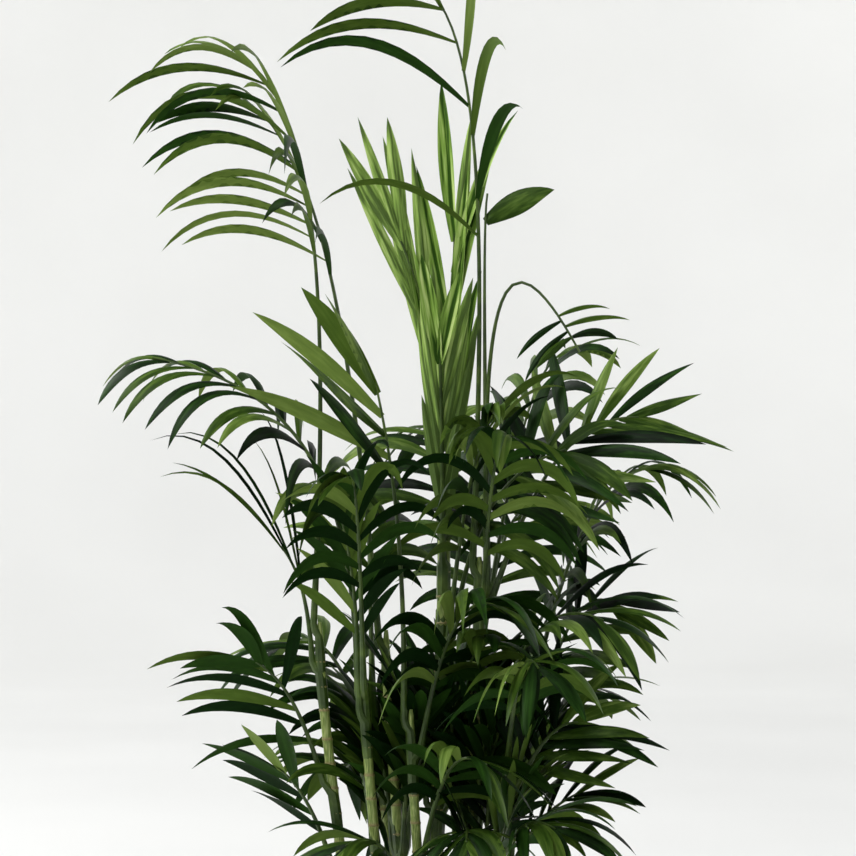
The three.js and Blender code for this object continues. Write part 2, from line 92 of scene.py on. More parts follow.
def add_node(material, kind, inputs=None, stops=(), **settings):
    """Adds a node. An input is given a value, or another node's output to link to. `stops` are a colour
    ramp's, each (position, sRGB hex)."""
    node = material.node_tree.nodes.new(kind)
    for name, value in settings.items():
        setattr(node, name, value)
    for name, value in (inputs or {}).items():
        if isinstance(value, bpy.types.NodeSocket):
            material.node_tree.links.new(value, node.inputs[name])
        else:
            node.inputs[name].default_value = value
    for i, (position, code) in enumerate(stops):
        element = node.color_ramp.elements[i] if i < 2 else node.color_ramp.elements.new(position)
        element.position = position
        element.color = linear(code)
    return node


def draw_out(path, extrude):
    """Draws the selected ring, or its edge, out along a path that it stands at the start of. Each point of
    the path is [the ring's middle, its radius]."""
    for (middle, radius), (above, wider) in zip(path, path[1:]):
        extrude(TRANSFORM_OT_translate={"value": Vector(above) - Vector(middle)})
        bpy.ops.transform.resize(value=(wider / radius, wider / radius, 1), center_override=above)


def finish_modelling(inside=False):
    """Turns all faces outwards, or inwards, and leaves edit mode."""
    bpy.ops.mesh.select_all(action="SELECT")
    bpy.ops.mesh.normals_make_consistent(inside=inside)
    bpy.ops.object.mode_set(mode="OBJECT")


def mottled_material(name, patch, stops, finish, detail=3.0):
    """A material whose colours are mottled at the size of its patches. `finish` is its surface settings."""
    material = new_material(name)
    place = add_node(material, "ShaderNodeTexCoord").outputs["Object"]
    shade = add_node(
        material, "ShaderNodeTexNoise", {"Vector": place, "Scale": 1 / patch, "Detail": detail}
    )
    colour = add_node(material, "ShaderNodeValToRGB", {"Fac": shade.outputs["Fac"]}, stops=stops)
    surface = add_node(
        material, "ShaderNodeBsdfPrincipled", {"Base Color": colour.outputs["Color"], **finish}
    )
    add_node(material, "ShaderNodeOutputMaterial", {"Surface": surface.outputs["BSDF"]})
    return material


# Matt studio paper: no grain that shows, a faint unevenness, and no gloss.
paper = mottled_material(
    "studio_paper", PAPER_PATCH, [(0.3, "#e9e9e7"), (0.7, "#eeeeec")],
    {"Roughness": 0.9, "Specular IOR Level": 0.1}, detail=2.0,
)

bpy.ops.object.select_all(action="DESELECT")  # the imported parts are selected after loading
bpy.ops.mesh.primitive_circle_add(
    vertices=STUDIO_SIDES, radius=FLOOR_RADIUS, fill_type="NGON", location=(0, 0, -FLOOR_DROP)
)
studio = bpy.context.object
studio.name = "studio_floor"
bpy.ops.object.mode_set(mode="EDIT")
bpy.ops.mesh.select_mode(type="EDGE")
bpy.ops.mesh.select_all(action="SELECT")
bends = [i * pi / 2 / BEND_STEPS for i in range(BEND_STEPS + 1)]
wall_path = [((0, 0, WALL_CURVE * (1 - cos(bend))), FLOOR_RADIUS + WALL_CURVE * sin(bend)) for bend in bends]
wall_path.append(((0, 0, WALL_TOP), FLOOR_RADIUS + WALL_CURVE))
draw_out(wall_path, bpy.ops.mesh.extrude_edges_move)
finish_modelling(inside=True)
bpy.ops.object.transform_apply(location=True)
bpy.ops.object.shade_smooth()
studio.data.materials.append(paper)

# The sky light of a bright room, and lamps as soft as windows: [place, aim, size, watts]. Those named wall
# light only what is behind the palm.
SOFT_LIGHTS = {
    "window_behind": [(-3.1, 1.0, 2.6), (0, 0, 0.5), 2.4, 120],
    "window_right": [(2.9, 1.0, 2.2), (0, 0, 0.5), 1.8, 40],
    "room_front": [(-1.5, -2.6, 2.0), (0, 0, 0.5), 2.4, 12],
    "lamp_above": [(-0.8, -0.7, 2.0), (0, 0, 0.5), 0.5, 16],
    "ceiling": [(0, 0, 3.2), (0, 0, 0), 2.6, 4],
    "wall_left": [(-2.6, 3.8, 2.8), (-0.2, 5.8, 1.6), 1.4, 38],
    "wall_right": [(2.6, 3.8, 2.8), (0.2, 5.8, 1.6), 1.4, 40],
}
SKY_STRENGTH = 0.25
world = bpy.data.worlds.new("bright_room")
world.use_nodes = True
world.node_tree.nodes["Background"].inputs["Color"].default_value = linear("#eef2f6")
world.node_tree.nodes["Background"].inputs["Strength"].default_value = SKY_STRENGTH
bpy.context.scene.world = world
for name, (place, aim, size, watts) in SOFT_LIGHTS.items():
    lamp_data = bpy.data.lights.new(name, "AREA")
    lamp_data.shape = "DISK"
    lamp_data.size = size
    lamp_data.energy = watts
    lamp = bpy.data.objects.new(name, lamp_data)
    lamp.location = place
    lamp.rotation_euler = (Vector(aim) - Vector(place)).to_track_quat("-Z", "Y").to_euler()
    bpy.context.collection.objects.link(lamp)


# ------------------------------------------------------------
# The pot: an unglazed clay tub, thrown or pressed on a wheel and fired once, with a thick rim to lift it by.
# It is one open shell, turned smooth, with the faint rings of the tool that smoothed it.

MM = 0.001
POT_SIDES = 128
POT_WALL = 7 * MM
POT_FLOOR = 9 * MM
POT_RIM_HEIGHT = 30 * MM
POT_RIM_LEAN = 0.6 * MM  # how much wider the rim is at its top
POT_EDGE = 2.2 * MM  # rounding of the rim and the foot
POT_FOOT_RADIUS = 61 * MM
POT_NECK_RADIUS = 78 * MM
POT_RIM_RADIUS, _, POT_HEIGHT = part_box("pot")[1]
NECK_HEIGHT = POT_HEIGHT - POT_RIM_HEIGHT


def inner_radius(height):
    """The inside of the wall, which runs parallel to the outside under the rim."""
    return POT_FOOT_RADIUS + (POT_NECK_RADIUS - POT_FOOT_RADIUS) * height / NECK_HEIGHT - POT_WALL


bpy.ops.object.select_all(action="DESELECT")
bpy.ops.mesh.primitive_circle_add(vertices=POT_SIDES, radius=POT_FOOT_RADIUS, fill_type="NGON")
pot = bpy.context.object
pot.name = "clay_pot"
bpy.ops.object.mode_set(mode="EDIT")
pot_profile = [
    (POT_FOOT_RADIUS, 0),
    ((POT_FOOT_RADIUS + POT_NECK_RADIUS) / 2, NECK_HEIGHT / 2),
    (POT_NECK_RADIUS, NECK_HEIGHT),
    (POT_RIM_RADIUS - POT_RIM_LEAN, NECK_HEIGHT),
    (POT_RIM_RADIUS, POT_HEIGHT),
    (inner_radius(POT_HEIGHT), POT_HEIGHT),
    (inner_radius(POT_HEIGHT / 2), POT_HEIGHT / 2),
    (inner_radius(POT_FLOOR), POT_FLOOR),
]
draw_out([((0, 0, height), radius) for radius, height in pot_profile], bpy.ops.mesh.extrude_region_move)
finish_modelling()
edge_rounding = pot.modifiers.new("edges", "BEVEL")
edge_rounding.width = POT_EDGE
edge_rounding.segments = 4
edge_rounding.limit_method = "ANGLE"
edge_rounding.angle_limit = radians(25)
bpy.ops.object.modifier_apply(modifier="edges")
bpy.ops.object.shade_smooth_by_angle(angle=radians(40))

# Terracotta: fired red clay, matt and slightly chalky. Fine grit, faint turning rings, and pale lime where
# damp has dried out through the wall.
CLAY_PATCH = 62.5 * MM
CLAY_GRIT = 0.9 * MM  # coarser than the real grit, so that it shows
CLAY_RING = 3.5 * MM
CLAY_RELIEF = 0.3 * MM  # of the grit and of the rings
WAVE_PERIOD = 2 * pi / 20  # of a wave texture at scale 1
LIME_PATCH = 29.4 * MM
LIME_HEIGHT = 62 * MM
terracotta = new_material("terracotta")
clay_place = add_node(terracotta, "ShaderNodeTexCoord").outputs["Object"]
clay_patches = add_node(
    terracotta, "ShaderNodeTexNoise",
    {"Vector": clay_place, "Scale": 1 / CLAY_PATCH, "Detail": 5.0, "Roughness": 0.6},
)
clay_colour = add_node(
    terracotta, "ShaderNodeValToRGB", {"Fac": clay_patches.outputs["Fac"]},
    stops=[(0.3, "#a4532f"), (0.52, "#b5623c"), (0.72, "#c07450")],
)
lime_patches = add_node(
    terracotta, "ShaderNodeTexNoise",
    {"Vector": clay_place, "Scale": 1 / LIME_PATCH, "Detail": 6.0, "Roughness": 0.7},
)
clay_height = add_node(terracotta, "ShaderNodeSeparateXYZ", {"Vector": clay_place}).outputs["Z"]
lime_fade = add_node(
    terracotta, "ShaderNodeMapRange",
    {"Value": clay_height, "From Min": LIME_HEIGHT, "From Max": 0.0, "To Min": 0.0, "To Max": 0.75},
)
lime_amount = add_node(
    terracotta, "ShaderNodeMath", {0: lime_fade.outputs["Result"], 1: lime_patches.outputs["Fac"]},
    operation="MULTIPLY",
)
limed_clay = add_node(
    terracotta, "ShaderNodeMix",
    {"Factor": lime_amount.outputs["Value"], 6: clay_colour.outputs["Color"], 7: linear("#d9b8a2")},
    data_type="RGBA",
)
turning_rings = add_node(
    terracotta, "ShaderNodeTexWave",
    {"Vector": clay_place, "Scale": WAVE_PERIOD / CLAY_RING, "Distortion": 1.2, "Detail": 2.0},
    bands_direction="Z",
)
ring_bump = add_node(
    terracotta, "ShaderNodeBump",
    {"Height": turning_rings.outputs["Fac"], "Strength": 0.25, "Distance": CLAY_RELIEF},
)
clay_grit = add_node(
    terracotta, "ShaderNodeTexNoise", {"Vector": clay_place, "Scale": 1 / CLAY_GRIT, "Detail": 3.0}
)
grit_bump = add_node(
    terracotta, "ShaderNodeBump",
    {
        "Height": clay_grit.outputs["Fac"], "Strength": 0.35, "Distance": CLAY_RELIEF,
        "Normal": ring_bump.outputs["Normal"],
    },
)
clay_surface = add_node(
    terracotta, "ShaderNodeBsdfPrincipled",
    {
        "Base Color": limed_clay.outputs[2], "Roughness": 0.86, "Specular IOR Level": 0.3,
        "Normal": grit_bump.outputs["Normal"],
    },
)
add_node(terracotta, "ShaderNodeOutputMaterial", {"Surface": clay_surface.outputs["BSDF"]})
pot.data.materials.append(terracotta)
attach(pot, "root")
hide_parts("pot")


# ------------------------------------------------------------
# The potting mix: dark peat and composted bark, watered and settled, so it lies a little lower at the wall
# than round the canes. Bark chips and a few white grains of perlite lie on it.

SOIL_SIDES = 120
SOIL_RINGS = 46
SOIL_EDGE_DROP = 3 * MM
SOIL_LUMP = 9 * MM
SOIL_RELIEF = 1.7 * MM
SOIL_DEPTH = 20 * MM  # of the slab that shows
SOIL_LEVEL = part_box("soil")[1][2]
SOIL_RADIUS = inner_radius(SOIL_LEVEL) - 0.5 * MM


def soil_top(x, y):
    """The height of the potting mix at a place."""
    away = hypot(x, y) / SOIL_RADIUS
    spot = Vector((x, y, 0.0))
    relief = noise.noise(spot / SOIL_LUMP) + 0.5 * noise.noise(spot / SOIL_LUMP * 2.7)
    return SOIL_LEVEL + SOIL_RELIEF * relief - SOIL_EDGE_DROP * away**3


bpy.ops.object.select_all(action="DESELECT")
bpy.ops.mesh.primitive_circle_add(
    vertices=SOIL_SIDES, radius=SOIL_RADIUS / SOIL_RINGS, fill_type="TRIFAN", location=(0, 0, SOIL_LEVEL)
)
soil = bpy.context.object
soil.name = "potting_mix"
bpy.ops.object.transform_apply(location=True)
bpy.ops.object.mode_set(mode="EDIT")
bpy.ops.mesh.select_mode(type="EDGE")
bpy.ops.mesh.select_all(action="DESELECT")
bpy.ops.mesh.select_non_manifold()
soil_rings = [((0, 0, SOIL_LEVEL), SOIL_RADIUS * ring / SOIL_RINGS) for ring in range(1, SOIL_RINGS + 1)]
draw_out(soil_rings, bpy.ops.mesh.extrude_edges_move)
bpy.ops.mesh.extrude_edges_move(TRANSFORM_OT_translate={"value": (0, 0, -SOIL_DEPTH)})
bpy.ops.mesh.edge_face_add()
finish_modelling()
for vertex in soil.data.vertices:
    if vertex.co.z > SOIL_LEVEL - SOIL_DEPTH / 2:
        vertex.co.z = soil_top(vertex.co.x, vertex.co.y)
bpy.ops.object.shade_smooth_by_angle(angle=radians(60))

# Peat and composted bark: near black when moist, in crumbs of a millimetre or two, with no gloss.
PEAT_CRUMB = 1.6 * MM
PEAT_CLUMP = 5.56 * MM
peat = new_material("moist_peat")
peat_place = add_node(peat, "ShaderNodeTexCoord").outputs["Object"]
peat_shade = add_node(
    peat, "ShaderNodeTexNoise",
    {"Vector": peat_place, "Scale": 1 / PEAT_CLUMP, "Detail": 4.0, "Roughness": 0.7},
)
peat_colour = add_node(
    peat, "ShaderNodeValToRGB", {"Fac": peat_shade.outputs["Fac"]},
    stops=[(0.35, "#1b130d"), (0.55, "#33251a"), (0.75, "#4d3a29")],
)
peat_crumbs = add_node(peat, "ShaderNodeTexVoronoi", {"Vector": peat_place, "Scale": 1 / PEAT_CRUMB})
peat_bump = add_node(
    peat, "ShaderNodeBump",
    {"Height": peat_crumbs.outputs["Distance"], "Strength": 0.9, "Distance": 0.8 * MM},
)
peat_surface = add_node(
    peat, "ShaderNodeBsdfPrincipled",
    {
        "Base Color": peat_colour.outputs["Color"], "Roughness": 0.95, "Specular IOR Level": 0.2,
        "Normal": peat_bump.outputs["Normal"],
    },
)
add_node(peat, "ShaderNodeOutputMaterial", {"Surface": peat_surface.outputs["BSDF"]})
soil.data.materials.append(peat)
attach(soil, "root")
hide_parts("soil")


def make_mesh(name, points, faces, materials, face_material=None, uv=None):
    """One object from lists of points and faces. Each face can have its own material, and each point its
    place on a map."""
    data = bpy.data.meshes.new(name)
    data.from_pydata(points, [], faces)
    for material in materials:
        data.materials.append(material)
    if face_material is not None:
        data.polygons.foreach_set("material_index", np.asarray(face_material, dtype=np.int32))
    if uv is not None:
        layer = data.uv_layers.new(name="blade_map")
        corners = np.empty(len(data.loops), dtype=np.int32)
        data.loops.foreach_get("vertex_index", corners)
        layer.data.foreach_set("uv", np.asarray(uv, dtype=np.float32)[corners].ravel())
    data.update()
    made = bpy.data.objects.new(name, data)
    bpy.context.collection.objects.link(made)
    return made


def crumbs(name, count, size, flatness, seed, material):
    """Loose bits strewn on the potting mix: each a knocked-about block, half sunk, clear of the wall."""
    dice = np.random.default_rng(seed)
    block = bmesh.new()
    bmesh.ops.create_icosphere(block, subdivisions=1, radius=1.0)
    ball = np.array([vertex.co[:] for vertex in block.verts])
    ball_faces = [[vertex.index for vertex in face.verts] for face in block.faces]
    block.free()
    points, faces = [], []
    for _ in range(count):
        angle, away = dice.uniform(0, 2 * pi), sqrt(dice.uniform(0, 1)) * (SOIL_RADIUS - size[1])
        x, y = away * cos(angle), away * sin(angle)
        radius = dice.uniform(*size) / 2
        stretch = np.array([1.0, dice.uniform(0.45, 0.9), dice.uniform(*flatness)])
        bit = ball * (1 + dice.uniform(-0.28, 0.28, (len(ball), 1))) * stretch * radius
        turn = Matrix.Rotation(dice.uniform(0, 2 * pi), 3, "Z") @ Matrix.Rotation(
            dice.uniform(-0.5, 0.5), 3, "X"
        )
        bit = bit @ np.array(turn).T + np.array([x, y, soil_top(x, y) + radius * stretch[2] * 0.35])
        faces += [[corner + len(points) for corner in face] for face in ball_faces]
        points += bit.tolist()
    strewn = make_mesh(name, points, faces, [material])
    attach(strewn, "root")


# Composted bark: flat brown chips, paler where they have dried.
bark = mottled_material(
    "composted_bark", 4 * MM, [(0.3, "#2b1c12"), (0.55, "#4a3322"), (0.8, "#6d5038")], {"Roughness": 0.9}
)
# Perlite: puffed volcanic glass, white and chalky, stained by the peat in its pits.
perlite = mottled_material(
    "perlite", 1.1 * MM, [(0.3, "#b3aa9c"), (0.6, "#dfdbd2")], {"Roughness": 0.8}
)

crumbs("peat_crumbs", 1500, (1.2 * MM, 3.4 * MM), (0.5, 0.9), 11, peat)
crumbs("bark_chips", 420, (3 * MM, 8 * MM), (0.25, 0.5), 12, bark)
crumbs("perlite_grains", 130, (1.4 * MM, 3 * MM), (0.7, 0.95), 13, perlite)


# ------------------------------------------------------------
# The canes: smooth green stems no thicker than a pencil, one clump from one root. Each has a ring where
# every old frond has dropped, a flared foot, and a bud at its top that the youngest fronds come out of.

# In millimetres: where each cane stands, where its top is, how high that is, and the radius there.
CANES = {
    "far_left": dict(foot=[-62, -12], top=[-82, -22], height=392, radius=3.4),
    "left": dict(foot=[-36, -30], top=[-48, -40], height=352, radius=3.3),
    "inner_left": dict(foot=[-20, 4], top=[-33, 8], height=384, radius=3.4),
    "front": dict(foot=[-6, -36], top=[-14, -52], height=330, radius=3.2),
    "middle": dict(foot=[4, 6], top=[11, 6], height=492, radius=4.6),
    "inner_right": dict(foot=[28, -14], top=[37, -12], height=440, radius=3.8),
    "right": dict(foot=[50, 10], top=[66, 18], height=318, radius=3.4),
    "back_right": dict(foot=[24, 40], top=[32, 62], height=346, radius=3.3),
    "back_left": dict(foot=[-24, 38], top=[-44, 58], height=340, radius=3.3),
    "front_right": dict(foot=[36, -40], top=[54, -58], height=284, radius=3.2),
}
CANE_GAP = 0.4  # between any two solids of the frame
CANE_FLARE = 1.5
CANE_FLARE_HEIGHT = 14
CANE_TAPER = 0.8
CANE_BUD_HEIGHT = 26
CANE_BUD_RADIUS = 1.4
CANE_SIDES = 16
FOOT_STEPS = [0, 1.5, 3.5, 6, 9]  # millimetres up, where the flared foot is rounded
BUD_STEPS = 8
FIRST_NODE = 12  # millimetres up, at the least
NODE_SPACING = 21  # millimetres from ring to ring, with the least at the top
CORK_REACH = 1.3  # millimetres that the tan of a ring spreads up and down
# The shape of one ring: how far above it, in millimetres, and how much thicker the cane is there.
NODE_RING = [(-2.6, 1.0), (-1.2, 1.05), (-0.3, 1.13), (0.3, 1.12), (0.9, 1.03), (2.6, 0.99)]


def between(low, high, share):
    return low + (high - low) * share


def cane_point(cane, share):
    """A point on a cane's middle line, upright at the foot and again at the top."""
    bow = share * share * (3 - 2 * share)
    return Vector((
        between(cane["foot"][0], cane["top"][0], bow),
        between(cane["foot"][1], cane["top"][1], bow),
        between(SOIL_LEVEL / MM + CANE_GAP, cane["height"], share),
    ))


def cane_radius(cane, share):
    length = cane["height"] - SOIL_LEVEL / MM
    flare = CANE_FLARE * max(0, 1 - share * length / CANE_FLARE_HEIGHT) ** 2
    body = cane["radius"] + CANE_TAPER * (1 - share) + flare
    return between(CANE_BUD_RADIUS, body, min(1, (1 - share) * length / CANE_BUD_HEIGHT) ** 0.7)


# Living cane: a waxy green skin over fibre, faintly ribbed along its length, tan and corky at the rings.
FIBRE_SPACING = 0.9 * MM
FIBRE_STRETCH = 0.06  # drawn out along the cane
CORK_PIT = 1.4286 * MM
cane_skin = new_material("waxy_cane_skin")
cane_place = add_node(cane_skin, "ShaderNodeTexCoord").outputs["Object"]
cane_stretch = add_node(
    cane_skin, "ShaderNodeMapping", {"Vector": cane_place, "Scale": (1, 1, FIBRE_STRETCH)}
)
cane_fibre = add_node(
    cane_skin, "ShaderNodeTexNoise",
    {"Vector": cane_stretch.outputs["Vector"], "Scale": 1 / FIBRE_SPACING, "Detail": 3.0},
)
cane_green = add_node(
    cane_skin, "ShaderNodeValToRGB", {"Fac": cane_fibre.outputs["Fac"]},
    stops=[(0.3, "#566c2e"), (0.5, "#82954b"), (0.72, "#b4c07a")],
)
cane_cork = add_node(
    cane_skin, "ShaderNodeTexNoise",
    {"Vector": cane_place, "Scale": 1 / CORK_PIT, "Detail": 4.0, "Roughness": 0.7},
)
cane_tan = add_node(
    cane_skin, "ShaderNodeValToRGB", {"Fac": cane_cork.outputs["Fac"]},
    stops=[(0.3, "#5f5430"), (0.6, "#978a5c"), (0.8, "#bdb285")],
)
ring_mark = add_node(cane_skin, "ShaderNodeAttribute", attribute_name="ring")
cane_colour = add_node(
    cane_skin, "ShaderNodeMix",
    {"Factor": ring_mark.outputs["Fac"], 6: cane_green.outputs["Color"], 7: cane_tan.outputs["Color"]},
    data_type="RGBA",
)
cane_bump = add_node(
    cane_skin, "ShaderNodeBump",
    {"Height": cane_fibre.outputs["Fac"], "Strength": 0.35, "Distance": 0.3 * MM},
)
cane_surface = add_node(
    cane_skin, "ShaderNodeBsdfPrincipled",
    {
        "Base Color": cane_colour.outputs[2], "Roughness": 0.42, "IOR": 1.45,
        "Normal": cane_bump.outputs["Normal"],
    },
)
add_node(cane_skin, "ShaderNodeOutputMaterial", {"Surface": cane_surface.outputs["BSDF"]})

cane_dice = np.random.default_rng(31)
for name, cane in CANES.items():
    length = cane["height"] - SOIL_LEVEL / MM
    rings = []
    ring = FIRST_NODE + cane_dice.uniform(0, 6)
    while ring < length - CANE_BUD_HEIGHT:
        rings.append(ring)
        ring += NODE_SPACING * between(1.15, 0.8, ring / length) * cane_dice.uniform(0.88, 1.12)
    stations = [(height, 1.0) for height in FOOT_STEPS]
    for ring in rings:
        stations += [(ring + rise, thicker) for rise, thicker in NODE_RING]
    stations += [
        (length - CANE_BUD_HEIGHT * (1 - step / BUD_STEPS), 1.0) for step in range(1, BUD_STEPS + 1)
    ]
    stations = sorted(station for station in stations if 0 <= station[0] <= length)

    path = [
        (cane_point(cane, height / length) * MM, cane_radius(cane, height / length) * thicker * MM)
        for height, thicker in stations
    ]
    bpy.ops.object.select_all(action="DESELECT")
    bpy.ops.mesh.primitive_circle_add(
        vertices=CANE_SIDES, radius=path[0][1], fill_type="NGON", location=path[0][0]
    )
    stem = bpy.context.object
    stem.name = f"stem_{name}"
    bpy.ops.object.transform_apply(location=True)
    bpy.ops.object.mode_set(mode="EDIT")
    draw_out(path, bpy.ops.mesh.extrude_region_move)
    finish_modelling()
    bpy.ops.object.shade_smooth_by_angle(angle=radians(50))
    foot = SOIL_LEVEL / MM + CANE_GAP
    marks = stem.data.attributes.new("ring", "FLOAT", "POINT")
    marks.data.foreach_set("value", [
        max([max(0, 1 - abs(vertex.co.z / MM - foot - ring) / CORK_REACH) ** 0.5 for ring in rings] + [0])
        for vertex in stem.data.vertices
    ])
    stem.data.materials.append(cane_skin)
    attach(stem, "root")
    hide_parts(f"cane_{name}")


# ------------------------------------------------------------
# The fronds: from the sheath that clasps the cane, a thin round rib rises and arches over. Narrow leaflets
# stand along both sides of its outer part, each a folded, pointed blade, thickest at its midrib.

